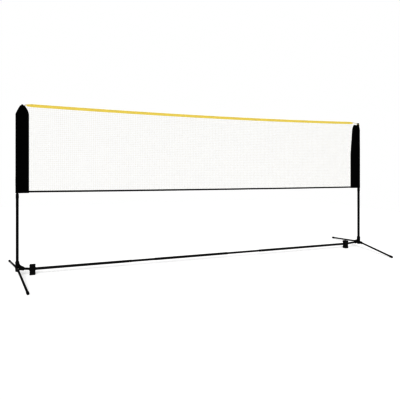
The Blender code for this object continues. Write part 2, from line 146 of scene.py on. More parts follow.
class Look:
    """A material with a Principled shader, and the few node recipes that the looks share."""

    def __init__(self, name, **sockets):
        self.material = bpy.data.materials.new(name)
        self.material.use_nodes = True
        self.tree = self.material.node_tree
        self.shader = self.tree.nodes["Principled BSDF"]
        for key, value in sockets.items():
            self.shader.inputs[key.replace("_", " ")].default_value = value
        self.at = self.tree.nodes.new("ShaderNodeTexCoord").outputs["Object"]

    def node(self, kind, inputs=(), **settings):
        made = self.tree.nodes.new(kind)
        for key, value in settings.items():
            setattr(made, key, value)
        for key, value in dict(inputs).items():
            if isinstance(value, bpy.types.NodeSocket):
                self.tree.links.new(value, made.inputs[key])
            else:
                made.inputs[key].default_value = value
        return made

    def stretched(self, scale, turn=(0, 0, 0)):
        inputs = {"Vector": self.at, "Scale": scale, "Rotation": turn}
        return self.node("ShaderNodeMapping", inputs).outputs["Vector"]

    def noise(self, scale, detail=2.0, rough=0.5, at=None, warp=0.0):
        inputs = {"Vector": at or self.at, "Scale": scale, "Detail": detail, "Roughness": rough,
                  "Distortion": warp}
        return self.node("ShaderNodeTexNoise", inputs).outputs["Fac"]

    def wave(self, period, at, axis="X", warp=0.0):
        inputs = {"Vector": at, "Scale": math.pi / (10 * period), "Distortion": warp, "Detail": 1.0}
        return self.node("ShaderNodeTexWave", inputs, bands_direction=axis).outputs["Fac"]

    def slanted(self, period, degrees, warp=0.0):
        """Ribs at an angle to the lengthwise direction."""
        at = self.stretched((1, 1, 1), (0, math.radians(degrees), 0))
        return self.wave(period, at, warp=warp)

    def math(self, operation, a, b=0.0):
        return self.node("ShaderNodeMath", {0: a, 1: b}, operation=operation).outputs[0]

    def span(self, value, source, target):
        """value, from the source range to the target range, held at its ends."""
        inputs = {"Value": value, "From Min": source[0], "From Max": source[1]}
        inputs.update({"To Min": target[0], "To Max": target[1]})
        return self.node("ShaderNodeMapRange", inputs).outputs["Result"]

    def shade(self, value, a, b, source=(0.35, 0.7)):
        """Colour a, turning into colour b as value crosses the source range."""
        return self.mix(self.span(value, source, (0, 1)), a, b)

    def over(self, colour, other, value, share):
        """A colour with a share of another over it, where value is high."""
        return self.mix(self.math("MULTIPLY", value, share), colour, other)

    def mix(self, factor, a, b):
        made = self.node("ShaderNodeMix", {"Factor": factor}, data_type="RGBA")
        for socket, value in ((made.inputs[6], a), (made.inputs[7], b)):
            if isinstance(value, bpy.types.NodeSocket):
                self.tree.links.new(value, socket)
            else:
                socket.default_value = (*value, 1.0)
        return made.outputs[2]

    def set(self, **values):
        for key, value in values.items():
            self.tree.links.new(value, self.shader.inputs[key.replace("_", " ")])

    def bump(self, *heights):
        """Each height is (value, distance in metres, strength); they add up."""
        normal = None
        for value, distance, strength in heights:
            inputs = {"Height": value, "Distance": distance, "Strength": strength}
            if normal is not None:
                inputs["Normal"] = normal
            normal = self.node("ShaderNodeBump", inputs).outputs["Normal"]
        self.set(Normal=normal)


def painted_tube():
    """Black powder coat: faint orange peel, a little dust and fine handling scuffs."""
    k = Look("painted_tube_finish", Specular_IOR_Level=0.17)
    peel = k.noise(900, 2, 0.45)
    patches = k.noise(9, 4, 0.6)
    streaks = k.noise(60, 5, 0.62, at=k.stretched((1, 1, 0.16)), warp=0.8)
    scuffs = k.span(streaks, (0.66, 0.74), (0, 1))
    colour = k.shade(patches, (0.0024, 0.0024, 0.0026), (0.0042, 0.0042, 0.0044))
    k.set(Base_Color=k.over(colour, (0.015, 0.015, 0.0155), scuffs, 0.5))
    plain = k.span(patches, (0.3, 0.75), (0.30, 0.42))
    k.set(Roughness=k.math("ADD", plain, k.math("MULTIPLY", scuffs, 0.16)))
    k.bump((peel, 0.00006, 0.55), (scuffs, 0.00003, 0.5))
    return k.material


def moulding():
    """Black moulded plastic: spark-eroded grain with slightly polished, slightly dusty patches."""
    k = Look("moulding_finish", Specular_IOR_Level=0.20)
    grain = k.noise(2300, 2, 0.5)
    flow = k.noise(38, 4, 0.6, warp=1.2)
    dust = k.span(k.noise(110, 4, 0.65), (0.55, 0.75), (0, 1))
    colour = k.shade(flow, (0.0034, 0.0034, 0.0036), (0.0056, 0.0056, 0.0056), (0.3, 0.7))
    k.set(Base_Color=k.over(colour, (0.017, 0.0165, 0.0155), dust, 0.28))
    dull = k.math("ADD", flow, k.math("MULTIPLY", dust, 0.4))
    k.set(Roughness=k.span(dull, (0.3, 1.1), (0.46, 0.70)))
    k.bump((grain, 0.00009, 0.6), (flow, 0.0004, 0.18))
    return k.material


def rubber():
    """Dull black rubber, scuffed and dusty where it meets the ground."""
    k = Look("rubber_finish", Specular_IOR_Level=0.15)
    height = k.node("ShaderNodeSeparateXYZ", {0: k.at}).outputs["Z"]
    near_ground = k.span(height, (0.0015, 0.0090), (1, 0))
    speckle = k.noise(700, 4, 0.7)
    worn = k.math("MULTIPLY", near_ground, k.span(k.noise(160, 4, 0.7), (0.38, 0.62), (0, 1)))
    colour = k.mix(speckle, (0.0036, 0.0036, 0.0036), (0.0072, 0.0071, 0.0069))
    k.set(Base_Color=k.over(colour, (0.030, 0.028, 0.025), worn, 0.6))
    k.set(Roughness=k.span(speckle, (0.3, 0.7), (0.72, 0.92)))
    k.bump((speckle, 0.00015, 0.6), (k.noise(120, 3), 0.0003, 0.25))
    return k.material


def zinc():
    """Zinc-plated steel: bluish grey with faint straw patches and a fine turned grain."""
    k = Look("zinc_finish", Metallic=1.0)
    patch = k.noise(260, 4, 0.6, warp=0.6)
    grain = k.noise(1500, 2, 0.6, at=k.stretched((1, 1, 7)))
    k.set(Base_Color=k.shade(patch, (0.50, 0.52, 0.54), (0.60, 0.56, 0.45), (0.35, 0.68)))
    dull = k.math("ADD", patch, k.math("MULTIPLY", grain, 0.5))
    k.set(Roughness=k.span(dull, (0.5, 1.1), (0.24, 0.44)))
    k.bump((grain, 0.00003, 0.5))
    return k.material


def weave(k, pitch):
    """A plain weave's ridges and crossings, a thread every pitch, on upright panels."""
    parts = k.node("ShaderNodeSeparateXYZ", {0: k.at})
    level = k.math("ADD", parts.outputs["X"], parts.outputs["Y"])
    flat = k.node("ShaderNodeCombineXYZ", {0: level, 1: 0.0, 2: parts.outputs["Z"]}).outputs[0]
    warp_yarn = k.wave(pitch, flat, "X", warp=0.5)
    weft_yarn = k.wave(pitch, flat, "Z", warp=0.5)
    return k.math("MAXIMUM", warp_yarn, weft_yarn), k.math("MULTIPLY", warp_yarn, weft_yarn)


def black_fabric():
    """Black polyester cloth: a fine weave with a dull sheen, a painted highlight on its crossings,
    lint and faded patches.
    """
    k = Look("sleeve_cloth", Specular_IOR_Level=0.075, Sheen_Weight=0.04, Sheen_Roughness=0.45)
    ridges, crossings = weave(k, 0.00055)
    fade = k.noise(24, 4, 0.6)
    lint = k.span(k.noise(420, 3, 0.6, warp=2.0), (0.70, 0.76), (0, 1))
    colour = k.shade(fade, (0.0009, 0.0009, 0.0010), (0.0020, 0.0020, 0.0021))
    # painted highlight: the weave's raised crossings a little lighter
    colour = k.over(colour, (0.0038, 0.0038, 0.0040), crossings, 0.35)
    k.set(Base_Color=k.over(colour, (0.022, 0.022, 0.022), lint, 0.22))
    k.set(Roughness=k.span(ridges, (0.1, 0.9), (0.93, 0.78)))
    k.bump((ridges, 0.00012, 0.7), (k.noise(300, 3), 0.0002, 0.2))
    return k.material


def yellow_tape():
    """Golden yellow woven tape: twill ribs, painted shade in their grooves, colour that varies a
    little, grime in patches.
    """
    k = Look("top_tape_weave", Specular_IOR_Level=0.25, Sheen_Weight=0.12, Sheen_Roughness=0.5)
    twill = k.slanted(0.0011, 38, 0.4)
    ridges, crossings = weave(k, 0.0007)
    tint = k.noise(7, 4, 0.6)
    colour = k.shade(tint, YELLOW[0], YELLOW[1], (0.3, 0.7))
    # painted shade: darker towards YELLOW's last colour in the twill's grooves
    colour = k.mix(k.span(twill, (0.0, 0.55), (0.34, 0.0)), colour, YELLOW[2])
    soil = k.span(k.noise(55, 5, 0.7), (0.60, 0.78), (0, 0.30))
    k.set(Base_Color=k.mix(soil, colour, (0.42, 0.29, 0.09)))
    k.set(Roughness=k.span(crossings, (0.0, 0.8), (0.86, 0.66)))
    k.bump((twill, 0.00016, 0.7), (ridges, 0.00010, 0.5))
    return k.material


def black_binding():
    """Black woven binding tape with fine lengthwise ribs and a painted highlight on the weave's
    crossings.
    """
    k = Look("binding_weave", Specular_IOR_Level=0.10, Sheen_Weight=0.03, Sheen_Roughness=0.5)
    ribs = k.wave(0.0009, k.at, "Z", warp=0.3)
    ridges, crossings = weave(k, 0.0006)
    fade = k.noise(16, 4, 0.6)
    colour = k.shade(fade, (0.0014, 0.0014, 0.0015), (0.0030, 0.0030, 0.0031))
    # painted highlight: the weave's raised crossings a little lighter
    k.set(Base_Color=k.over(colour, (0.0055, 0.0055, 0.0058), crossings, 0.4))
    k.set(Roughness=k.span(ridges, (0.1, 0.9), (0.92, 0.74)))
    k.bump((ribs, 0.00014, 0.6), (ridges, 0.00008, 0.5))
    return k.material


def twine(name, colours, period, rough):
    """Twisted or braided yarn: slanting strands with painted shade in the gaps between them, tinted
    unevenly.
    """
    k = Look(name, Specular_IOR_Level=0.25, Sheen_Weight=0.10, Sheen_Roughness=0.5)
    strands = k.math("MAXIMUM", k.slanted(period, 35, 0.6), k.slanted(period, -35, 0.6))
    tint = k.noise(30, 4, 0.6)
    colour = k.shade(tint, colours[0], colours[1], (0.3, 0.7))
    # painted shade: darker towards the third colour in the gaps between strands
    k.set(Base_Color=k.mix(k.span(strands, (0.15, 0.75), (0.45, 0.0)), colour, colours[2]))
    k.set(Roughness=k.span(strands, (0.1, 0.9), (rough + 0.08, rough - 0.06)))
    k.bump((strands, period * 0.25, 0.7))
    return k.material


def thread(name, colour, shade):
    """Sewing thread, a two-ply twist, with painted shade between the plies."""
    k = Look(name, Specular_IOR_Level=0.3, Roughness=0.6)
    ply = k.slanted(0.0008, 30)
    # painted shade: darker where the plies meet
    k.set(Base_Color=k.mix(k.span(ply, (0.1, 0.7), (0.6, 0.0)), colour, shade))
    k.bump((ply, 0.0001, 0.6))
    return k.material


def floor_look():
    """A matt floor that glows a little, so that it is as white as the backdrop."""
    k = Look("studio_floor", Roughness=0.85, Specular_IOR_Level=0.1)
    k.set(Base_Color=k.mix(k.noise(0.8, 3), (0.49, 0.49, 0.49), (0.51, 0.51, 0.51)))
    k.shader.inputs["Emission Color"].default_value = (1, 1, 1, 1)
    k.shader.inputs["Emission Strength"].default_value = FLOOR_GLOW
    return k.material


YELLOW = ((0.885, 0.745, 0.218), (0.928, 0.800, 0.243), (0.715, 0.55, 0.124))  # the last is painted shade for the grooves between the ribs
FLOOR_GLOW = 0.67
ROOM_LIGHT = 0.35
KEY_LIGHT = 2.0

TUBE, PLASTIC, RUBBER, STEEL = painted_tube(), moulding(), rubber(), zinc()
CLOTH, TAPE, BINDING = black_fabric(), yellow_tape(), black_binding()
# the third colour of each is painted shade for the gaps between strands
NET = twine("net_twine", ((0.80, 0.78, 0.68), (0.86, 0.84, 0.76), (0.55, 0.52, 0.43)),
            period=0.0009, rough=0.72)
CORD = twine("tie_cord", ((0.76, 0.66, 0.38), (0.82, 0.72, 0.45), (0.48, 0.38, 0.18)),
             period=0.0016, rough=0.75)
# the second colour of each is painted shade between the plies
YELLOW_THREAD = thread("yellow_thread", (0.88, 0.66, 0.18), (0.62, 0.42, 0.08))
BLACK_THREAD = thread("black_thread", (0.0120, 0.0120, 0.0130), (0.0050, 0.0050, 0.0055))


# --- mesh tools


def skin(rings, wrap=False):
    """Points and faces over rings of equally many points, capped, or joined last to first."""
    rings = np.asarray(rings, float)
    rows, cols = rings.shape[:2]
    index = np.arange(rows * cols).reshape(rows, cols)
    beside = np.roll(index, -1, axis=1)
    if wrap:
        corners = (index, beside, np.roll(beside, -1, axis=0), np.roll(index, -1, axis=0))
    else:
        corners = (index[:-1], beside[:-1], beside[1:], index[1:])
    faces = [np.stack(corners, axis=-1).reshape(-1, 4)]
    if not wrap:
        faces += [index[0][::-1][None], index[-1][None]]
    return rings.reshape(-1, 3), faces


def joined(name, parts):
    """One mesh of several (points, faces) parts."""
    mesh = bpy.data.meshes.new(name)
    points = np.concatenate([p for p, _ in parts])
    loops, sizes, base = [], [], 0
    for p, faces in parts:
        for group in faces:
            loops.append((group + base).ravel())
            sizes.append(np.full(len(group), group.shape[1]))
        base += len(p)
    loops, sizes = np.concatenate(loops), np.concatenate(sizes)
    mesh.vertices.add(len(points))
    mesh.vertices.foreach_set("co", points.astype(np.float32).ravel())
    mesh.loops.add(len(loops))
    mesh.loops.foreach_set("vertex_index", loops.astype(np.int32))
    mesh.polygons.add(len(sizes))
    mesh.polygons.foreach_set("loop_start", (np.cumsum(sizes) - sizes).astype(np.int32))
    mesh.update(calc_edges=True)
    mesh.validate()
    return mesh


def link(name, data):
    """An object of a mesh, lamp or camera, placed in the scene."""
    made = bpy.data.objects.new(name, data)
    scene.collection.objects.link(made)
    return made


def piece(name, shape, look, node=None, body=None, sharp=38):
    """A finished piece from a mesh or a list of parts; it rides with the CAD node it stands for."""
    mesh = shape if isinstance(shape, bpy.types.Mesh) else joined(name, shape)
    mesh.materials.clear()
    mesh.materials.append(look)
    mesh.shade_smooth()
    mesh.set_sharp_from_angle(angle=math.radians(sharp))
    made = link(name, mesh)
    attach(made, body or frame["nodes"][node]["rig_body"])
    if node:
        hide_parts(node)
    return made


def turns(count):
    """Angles that divide a full turn evenly."""
    return CYCLE * np.arange(count) / count


def quarter(steps, first=1):
    """Angles of a quarter turn divided into steps, from the first of them to its end."""
    return [math.pi / 2 * k / steps for k in range(first, steps + 1)]


def unit(rows):
    """Rows of vectors, each scaled to length one."""
    return rows / np.linalg.norm(rows, axis=1)[:, None]


def travelled(line):
    """The distance along a line of points, at each of them."""
    return np.concatenate([[0], np.cumsum(np.linalg.norm(np.diff(line, axis=0), axis=1))])


def around(axis):
    """Two directions square to an axis, as the CAD source picks them."""
    axis = Vector(axis).normalized()
    ref = Vector((0, 1, 0)) if abs(axis.y) < 0.9 else Vector((0, 0, 1))
    a = ref.cross(axis).normalized()
    return axis, a, axis.cross(a)


def lathe(start, axis, profile, sides=SIDES, wrap=False):
    """A turned body; each radius in the profile is one number or one for each side."""
    axis, a, b = around(axis)
    turn = turns(sides)
    rings = []
    for d, r in profile:
        r = np.broadcast_to(r, sides)
        middle = np.array(Vector(start) + axis * d)
        rings.append(middle + np.outer(r * np.cos(turn), a) + np.outer(r * np.sin(turn), b))
    return skin(rings, wrap)


def hexagon(flat, limit=1.0):
    """Radii of a hexagon that is flat from its middle to a side, cut to a limit."""
    off_flat = (turns(HEX_SIDES) + math.pi / 6) % (math.pi / 3) - math.pi / 6
    return np.minimum(flat / np.cos(off_flat), limit)


def pipe(a, b, radius, bore, stops=()):
    """A tube with rounded rims, and rings at the stops along it."""
    length = (b - a).length
    lip = min(RIM, (radius - bore) * 0.4)
    outer = [(0, radius - lip), (lip * 0.3, radius - lip * 0.3), (lip, radius)]
    outer += [(d, radius) for d in stops]
    outer += [(length - lip, radius), (length - lip * 0.3, radius - lip * 0.3)]
    outer += [(length, radius - lip), (length, bore + lip * 0.6), (length - lip, bore)]
    inner = [(d, bore) for d in reversed(stops)] + [(lip, bore), (0, bore + lip * 0.6)]
    return lathe(a, b - a, outer + inner, wrap=True)


def along(path, radius, ref, sides, closed=False):
    """A round cord along a path, with one radius or one for each point."""
    path = np.asarray(path, float)
    steps = np.roll(path, -1, 0) - np.roll(path, 1, 0) if closed else np.gradient(path, axis=0)
    steps = unit(steps)
    a = unit(np.cross(ref, steps))
    b = np.cross(steps, a)
    turn = turns(sides)[:, None]
    r = np.broadcast_to(radius, len(path))[:, None, None]
    rings = path[:, None] + r * (a[:, None] * np.cos(turn) + b[:, None] * np.sin(turn))
    return skin(rings, wrap=closed)


def copies(template, origins, xs, zs, sizes):
    """A small shape placed at many origins, its own X and Z turned to the given directions."""
    points, faces = template
    ys = np.cross(zs, xs)
    scaled = points[None] * sizes[:, None]
    moved = origins[:, None] + scaled[..., :1] * xs[:, None] + scaled[..., 1:2] * ys[:, None]
    moved = moved + scaled[..., 2:] * zs[:, None]
    base = (np.arange(len(origins)) * len(points))[:, None, None]
    return moved.reshape(-1, 3), [(base + f[None]).reshape(-1, f.shape[1]) for f in faces]


STITCH = along([(-0.5, 0, -0.35), (-0.30, 0, 0.75), (0.30, 0, 0.75), (0.5, 0, -0.35)],
               [0.55, 1.0, 1.0, 0.55], (0, 1, 0), 5)
STITCH_PITCH, STITCH_LENGTH, STITCH_R = 0.0050, 0.0036, 0.00026


def stitches(line, out):
    """A row of lock stitches along a line of points on cloth, proud of it in the direction out."""
    line, out = np.asarray(line, float), np.asarray(out, float)
    reach = travelled(line)
    at = np.arange(STITCH_PITCH / 2, reach[-1] - STITCH_PITCH / 4, STITCH_PITCH)

    def here(d, values):
        return np.stack([np.interp(d, reach, values[:, i]) for i in range(3)], axis=1)

    middle = here(at, line)
    x = unit(here(at + 0.0006, line) - here(at - 0.0006, line))
    z = here(at, out)
    z = unit(z - x * np.sum(x * z, axis=1)[:, None])
    points, faces = STITCH
    sized = points * np.array([STITCH_LENGTH, STITCH_R, STITCH_R])
    return copies((sized, faces), middle, x, z, np.ones((len(at), 3)))


def ball():
    """A small twenty-sided knot."""
    bm = bmesh.new()
    bmesh.ops.create_icosphere(bm, subdivisions=1, radius=1.0)
    points = np.array([v.co for v in bm.verts])
    faces = np.array([[v.index for v in f.verts] for f in bm.faces])
    bm.free()
    return points, [faces]


def evaluated(work, helpers):
    """The mesh of an object with its modifiers applied; the object and its helpers are removed."""
    bpy.context.view_layer.update()
    whole = work.evaluated_get(bpy.context.evaluated_depsgraph_get())
    result = bpy.data.meshes.new_from_object(whole)
    for used in (work, *helpers):
        bpy.data.objects.remove(used)
    return result


def carve(work, part, operation):
    """Joins a part to an object, or cuts it away, with a modifier; gives the part's object."""
    tool = link("tool", joined("tool", [part]))
    step = work.modifiers.new("step", "BOOLEAN")
    step.operation, step.solver, step.object = operation, "EXACT", tool
    return tool


def moulded(node, extra=(), cuts=(), voxel=0.001):
    """A CAD solid with its edges filleted as a mould leaves them, joined with extra detail."""
    name = f"{node}_moulding"
    bm = bmesh.new()
    bm.from_mesh(frame["nodes"][node].data)
    bmesh.ops.remove_doubles(bm, verts=bm.verts, dist=1e-6)
    mesh = bpy.data.meshes.new(name)
    bm.to_mesh(mesh)
    bm.free()
    work = link("work", mesh)
    helpers = [carve(work, part, "UNION") for part in extra]
    helpers += [carve(work, part, "DIFFERENCE") for part in cuts]
    grid = work.modifiers.new("grid", "REMESH")
    grid.mode, grid.voxel_size = "VOXEL", voxel
    soften = work.modifiers.new("soften", "SMOOTH")
    soften.factor, soften.iterations = 0.5, 3
    result = evaluated(work, helpers)
    result.name = name
    piece(name, result, PLASTIC, node, sharp=75)


def stand_in(node, suffix, part, look, sharp=38):
    """A piece of one (points, faces) part, for a CAD node."""
    piece(f"{node}_{suffix}", [part], look, node, sharp=sharp)


# --- shared places


def place(side, u, z):
    return Vector((side * (POLE_X - u), 0, z))


def ease(x):
    """x, held between 0 and 1."""
    return min(max(x, 0.0), 1.0)


def smooth(x):
    x = ease(x)
    return x * x * (3 - 2 * x)


def pole_u(end, z):
    """How far a pole leans in at a height."""
    return LEAN[end] * ease((z - UPPER_BEND_Z) / (LEAN_TOP_Z - UPPER_BEND_Z)) ** 2


def pole_point(end, side, z):
    return place(side, pole_u(end, z), z)


def pole_axis(end, side, z):
    return (pole_point(end, side, z + 0.002) - pole_point(end, side, z - 0.002)).normalized()


def stub_axis(end, side):
    a = place(side, 0, CORNER_Z)
    b = place(side, FOOT_U[end], BAR_Z)
    return a, b, (b - a).normalized()


def leg_line(side, row):
    """A leg's pivot, its level direction outward, and how far its tip is from the pivot."""
    reach = math.hypot(*LEG_TIP)
    ahead = 1 if row == "front" else -1
    level = Vector((-side * LEG_TIP[0] / reach * ahead, LEG_TIP[1] / reach * -ahead, 0))
    return Vector((side * POLE_X, 0, PIVOT_Z)) + level * PIVOT, level, reach - PIVOT


def sleeve_edge(end, z):
    """The u of a sleeve's inner edge: bowed in from a little above its middle, then a shoulder."""
    high = SLEEVE_Z[end][1]
    bowed = ease((z - BOW_Z) / (SHOULDER_Z - BOW_Z)) ** 1.2
    edge = SLEEVE_WIDTH[end] - SLEEVE_BOW[end] * bowed
    top = pole_u(end, high) + SLEEVE_LOBE[end][1]
    return edge + (top - edge) * ease((z - SHOULDER_Z) / (high - SHOULDER_Z)) ** 1.9


def tape_end_x(end):
    return ENDS[end] * (POLE_X - pole_u(end, UPPER_TOP_Z) - TAPE_GAP[end])


def tape_z(x):
    return TAPE_Z + TAPE_RISE["left" if x < 0 else "right"] * (x / TAPE_REACH) ** 2


def binding_z(x):
    return BINDING_Z - BINDING_TILT * x + BINDING_SAG * x**2


def net_edge(end, z):
    """The u of the mesh's edge: along the sleeve, then across to the end of the tape."""
    low, high = NET_CORNER_Z
    edge = sleeve_edge(end, min(z, low))
    corner = POLE_X - abs(tape_end_x(end)) + 0.0040
    return edge + (corner - edge) * ease((z - low) / (high - low))


def tape_half_height(x):
    near = ease(abs(tape_end_x("left" if x < 0 else "right") - x) / 0.045)
    return (TAPE_END_HEIGHT + (TAPE_HEIGHT - TAPE_END_HEIGHT) * near) / 2


# --- hard pieces


# Turned profiles, in metres: (distance along the axis, radius)
CAP_BODY = [(-0.018, 0.0070), (-0.0172, 0.0078), (0.0003, 0.0078), (0.0003, 0.0096),
            (0.0007, 0.0101), (0.0018, 0.0105), (0.0030, 0.0106), (0.0034, 0.0103),
            (0.0040, 0.0103), (0.0044, 0.0107), (0.0085, 0.0108)]
BUTTON_BODY = [(0.0042, 0.0040), (0.0044, 0.0044), (0.0056, 0.0044), (0.0056, 0.0029),
               (0.0112, 0.0029)]
GRIP_LOW = [(0, 0.0118), (0.0004, 0.0122), (0.0014, 0.0126), (0.0040, 0.0126), (0.0046, 0.0124)]
GRIP_HIGH = [(0.0276, 0.0124), (0.0282, 0.0120), (0.0290, 0.0119), (0.0298, 0.0121),
             (0.0306, 0.0125), (0.0340, 0.0126), (0.0368, 0.0124), (0.0388, 0.0118)]
# The grip's flutes: (height, share of their full depth)
GRIP_FLUTES = [(0.0056, 0.2), (0.0068, 0.7), (0.0090, 1.0), (0.0160, 1.0), (0.0230, 1.0),
               (0.0252, 0.7), (0.0264, 0.2)]
FLUTES, FLUTE_DEPTH = 24, 0.0007


def domed(base, height, radius, power, steps, tip_r):
    """The profile of a dome that ends in a tiny flat tip."""
    dome = [(base + height * math.sin(t), radius * math.cos(t) ** power) for t in quarter(steps)]
    return dome[:-1] + [(base + height, tip_r)]


def poles(end, side):
    lower = pipe(place(side, 0, LOWER_FOOT_Z), place(side, 0, LOWER_TOP_Z), LOWER_R, LOWER_BORE_R)
    stand_in(f"lower_pole_{end}", "tube", lower, TUBE)

    rise = UPPER_TOP_Z - UPPER_BEND_Z
    heights = [UPPER_FOOT_Z, UPPER_FOOT_Z + RIM]
    heights += [UPPER_BEND_Z + rise * k / 24 for k in range(24)] + [UPPER_TOP_Z - RIM, UPPER_TOP_Z]
    lip = [RIM] + [0.0] * (len(heights) - 2) + [RIM]
    rings = []
    for wall, order in ((UPPER_R, 1), (UPPER_BORE_R, -1)):
        for z, less in list(zip(heights, lip))[::order]:
            _, a, b = around(pole_axis(end, side, z))
            r = wall - less if order == 1 else wall + less * 0.6
            spokes = np.outer(np.cos(turns(SIDES)), a) + np.outer(np.sin(turns(SIDES)), b)
            rings.append(np.array(pole_point(end, side, z)) + r * spokes)
    stand_in(f"upper_pole_{end}", "tube", skin(rings, wrap=True), TUBE)

    start, axis = pole_point(end, side, UPPER_TOP_Z), pole_axis(end, side, UPPER_TOP_Z)
    cap = CAP_BODY + domed(0.0085, 0.0111, 0.0108, 0.86, 11, 0.0004)
    stand_in(f"pole_cap_{end}", "dome", lathe(start, axis, cap), PLASTIC)


def collar(end, side):
    """The twist lock: finger flutes all round but for a plain pad, and a rounded upper ring."""
    turn = turns(GRIP_SIDES)
    facing = np.cos(turn - 1.5 * math.pi)  # 1 where the grip faces -Y, where the pad is
    pad = np.clip((facing - 0.90) / 0.06, 0, 1)
    flute = (0.5 - 0.5 * np.cos(FLUTES * turn)) ** 1.6 * (1 - pad)
    low, high = COLLAR_Z
    tall = high - low
    fluted = [(d, COLLAR_R - FLUTE_DEPTH * depth * flute) for d, depth in GRIP_FLUTES]
    step = LOWER_TOP_Z - low + 0.0005
    inner = [(tall, 0.0110), (tall, 0.0102), (tall - 0.0006, LOWER_BORE_R), (step, LOWER_BORE_R),
             (step, LOWER_R + FIT), (0.0005, LOWER_R + FIT), (0, 0.0115)]
    profile = GRIP_LOW + fluted + GRIP_HIGH + inner
    shape = lathe(place(side, 0, low), UP, profile, GRIP_SIDES, wrap=True)
    stand_in(f"lock_collar_{end}", "grip", shape, PLASTIC, sharp=50)


def cylinder(start, axis, near, far, radius):
    return lathe(start, axis, [(near, radius), (far, radius)])


def ground_corner(end, side):
    """A lip round the pole's socket and a ring round the stub's, both sockets bored open."""
    a, _, line = stub_axis(end, side)
    lip = lathe(place(side, 0, 0.119), UP,
                [(0, 0.0150), (0.0015, 0.0170), (0.0070, 0.0170), (0.0085, 0.0150)])
    ring = lathe(a, line, [(0.047, 0.0140), (0.0485, 0.0156), (0.0545, 0.0156), (0.056, 0.0140)])
    bore = cylinder(place(side, 0, LOWER_FOOT_Z - FIT), UP, 0, 0.1, LOWER_R + FIT)
    moulded(f"corner_{end}", (lip, ring), (bore, cylinder(a, line, 0.0185, 0.08, STUB_R + FIT)))


def ground_foot(end, side):
    """Four arms that end in round beads, with a boss round each tube's mouth."""
    middle = place(side, FOOT_U[end], 0)
    ends = Vector((FOOT_LENGTH / 2, 0, 0))
    bead = [(0, 0.0048), (0.0018, BEAD_R), (FOOT_LENGTH + 0.0006, BEAD_R),
            (FOOT_LENGTH + 0.0024, 0.0048)]
    extra = []
    for y in (-1, 1):
        for z in (BEAD_R, FOOT_HEIGHT - BEAD_R):
            start = middle + Vector((0, y * 0.0120, z)) - ends - Vector((0.0012, 0, 0))
            extra.append(lathe(start, (1, 0, 0), bead))
    a, b, line = stub_axis(end, side)
    boss = [(0, 0.0150), (0.0012, 0.0164), (0.0058, 0.0164), (0.0058, 0.0120)]
    inward = Vector((-side, 0, 0))
    face = FOOT_LENGTH / 2 + 0.0028
    extra.append(lathe(middle + Vector((0, 0, BAR_Z)) + inward * face, -inward, boss))
    extra.append(lathe(a + line * ((FOOT_U[end] - face) / abs(line.x)), line, boss))
    bar = cylinder(middle + Vector((0, 0, BAR_Z)), inward, 0.0, 0.05, BAR_R + FIT)
    stub = cylinder(a, line, 0.05, (b - a).length, STUB_R + FIT)
    moulded(f"foot_{end}", extra, (bar, stub), voxel=0.0011)


def ground_bars():
    """The bar's outer and inner tubes, with a hole where a spring button comes through."""
    ends = {end: place(side, FOOT_U[end] + 0.0030, BAR_Z) for end, side in ENDS.items()}
    spans = {
        "bar_left": (ends["left"].x, NECK_X["left"][0], BAR_R, BAR_BORE_R, "left"),
        "bar_middle": (NECK_X["left"][1], NECK_X["right"][0], BAR_R, BAR_BORE_R, None),
        "bar_right": (NECK_X["right"][1], ends["right"].x, BAR_R, BAR_BORE_R, "right"),
    }
    for end, (x0, x1) in NECK_X.items():
        spans[f"inner_tube_{end}"] = (x0 - NECK_INSIDE, x1 + NECK_INSIDE, NECK_R[end],
                                      NECK_R[end] - NECK_WALL, end)
    for name, (x0, x1, radius, bore, hole) in spans.items():
        a, b = Vector((x0, 0, BAR_Z)), Vector((x1, 0, BAR_Z))
        if hole is None:
            stand_in(name, "tube", pipe(a, b, radius, bore), TUBE)
            continue
        at = BUTTON_X[hole] - x0
        work = link("work", joined(name, [pipe(a, b, radius, bore, (at - 0.007, at + 0.007))]))
        drill = lathe(Vector((BUTTON_X[hole], -0.02, BAR_Z)), (0, 1, 0),
                      [(0, BUTTON_HOLE_R), (0.018, BUTTON_HOLE_R)], BUTTON_SIDES)
        result = evaluated(work, [carve(work, drill, "DIFFERENCE")])
        piece(f"{name}_tube", result, TUBE, name)


def spring_button(end):
    profile = BUTTON_BODY + domed(0.0112, 0.0024, 0.0029, 0.8, 8, 0.0002)
    shape = lathe(Vector((BUTTON_X[end], 0, BAR_Z)), (0, -1, 0), profile, BUTTON_SIDES)
    stand_in(f"button_{end}", "head", shape, STEEL)


def pivot_bolt(pivot, tag):
    """A button-head bolt with a hexagon socket, and its nut with chamfered corners."""
    socket = hexagon(0.0020)
    head = [(-0.0170, 0.0022), (-0.0165, BOLT_R), (0.0116, BOLT_R), (0.0116, 0.0053),
            (0.0119, 0.0056)]
    head += [(0.0116 + 0.0044 * math.sin(t) ** 0.9, 0.0056 - 0.0026 * (1 - math.cos(t)))
             for t in quarter(8, 2)]
    head += [(0.0161, socket * 1.12), (0.0158, socket), (0.0136, socket), (0.0132, 0.0004)]
    stand_in(f"pivot_bolt_{tag}", "head", lathe(pivot, UP, head, HEX_SIDES), STEEL)
    flats = ((-0.0156, 0.0049), (-0.0152, 0.0053), (-0.0146, 1.0), (-0.0124, 1.0),
             (-0.0119, 0.0053), (-0.0116, 0.0049))
    nut = [(d, hexagon(0.00485, limit)) for d, limit in flats]
    nut += [(-0.0116, 0.0033), (-0.0119, 0.0030), (-0.0153, 0.0030), (-0.0156, 0.0033)]
    shape = lathe(pivot, UP, nut, HEX_SIDES, wrap=True)
    stand_in(f"pivot_nut_{tag}", "hex", shape, STEEL, sharp=30)


